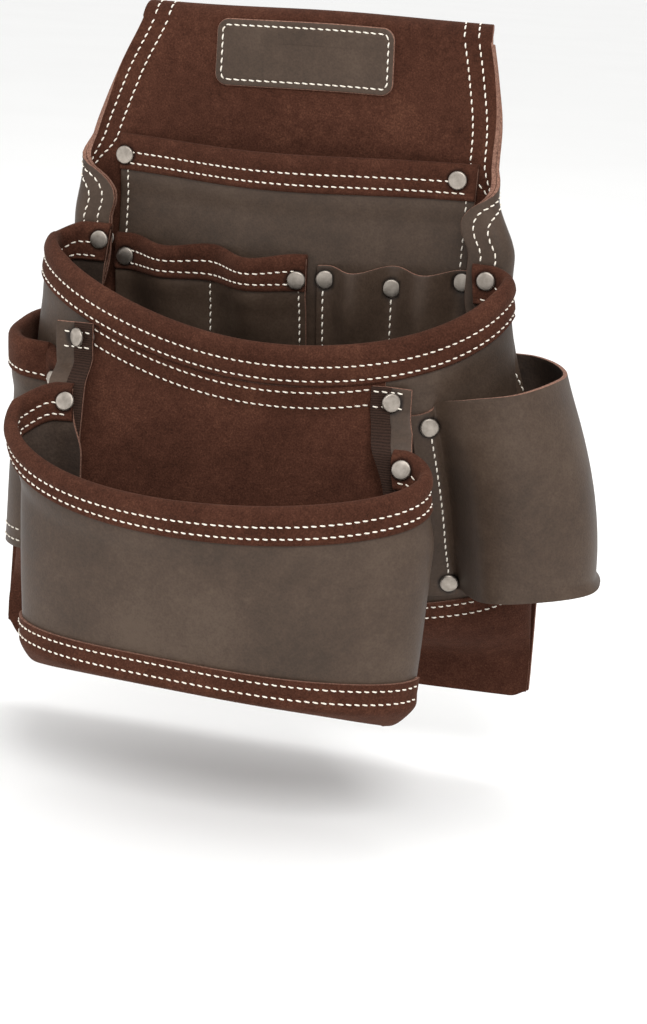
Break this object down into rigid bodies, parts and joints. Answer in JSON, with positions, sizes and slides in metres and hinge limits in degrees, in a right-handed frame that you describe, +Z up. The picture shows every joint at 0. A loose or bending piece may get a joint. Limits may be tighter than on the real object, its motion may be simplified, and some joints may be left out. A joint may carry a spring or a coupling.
{
  "type": "leather tool pouch",
  "caption": "Leather nail and tool pouch that hangs on a waist belt, with an upper pocket, tool slots, a deep main pocket, a front nail pocket, a side pocket and a hammer holder.",
  "frame": {"origin": "middle of the belt slot", "axes": "+X to the wearer's left along the belt, which is the right as the pouch is seen from the front; -Y out of the front of the pouch; +Z up"},
  "size_m": [0.3168, 0.1673, 0.335],
  "materials": {
    "suede": "matte brushed suede with a short nap",
    "smooth_leather": "smooth waxed grain leather, satin",
    "woven_tape": "ribbed woven twill tape, matte",
    "rivet_metal": "brushed nickel plate"
  },
  "bodies": {
    "root": {"back_panel": "suede", "back_liner": "smooth_leather", "badge_patch": "smooth_leather", "upper_pocket": "smooth_leather", "upper_pocket_band": "suede", "twin_pocket": "smooth_leather", "twin_pocket_band": "suede", "tool_slots": "smooth_leather", "main_pocket": "smooth_leather", "main_pocket_band": "suede", "main_pocket_hem": "suede", "front_pocket_back": "suede", "front_gusset_left": "smooth_leather", "front_gusset_right": "smooth_leather", "gusset_tape_left": "woven_tape", "gusset_tape_right": "woven_tape", "front_pocket": "smooth_leather", "front_pocket_band": "suede", "front_pocket_hem": "suede", "side_pocket": "smooth_leather", "side_pocket_band": "suede", "hammer_holder": "smooth_leather", "upper_pocket_rivets": "rivet_metal", "upper_pocket_burrs": "rivet_metal", "twin_pocket_rivets": "rivet_metal", "twin_pocket_burrs": "rivet_metal", "tool_slot_rivets": "rivet_metal", "tool_slot_burrs": "rivet_metal", "main_pocket_rivets": "rivet_metal", "main_pocket_burrs": "rivet_metal", "gusset_top_rivets": "rivet_metal", "gusset_top_burrs": "rivet_metal", "gusset_low_rivets": "rivet_metal", "gusset_low_burrs": "rivet_metal", "side_pocket_rivet": "rivet_metal", "side_pocket_burr": "rivet_metal", "holder_front_rivets": "rivet_metal", "holder_front_burrs": "rivet_metal", "holder_rear_rivets": "rivet_metal", "holder_rear_burrs": "rivet_metal"}
  },
  "joints": []
}
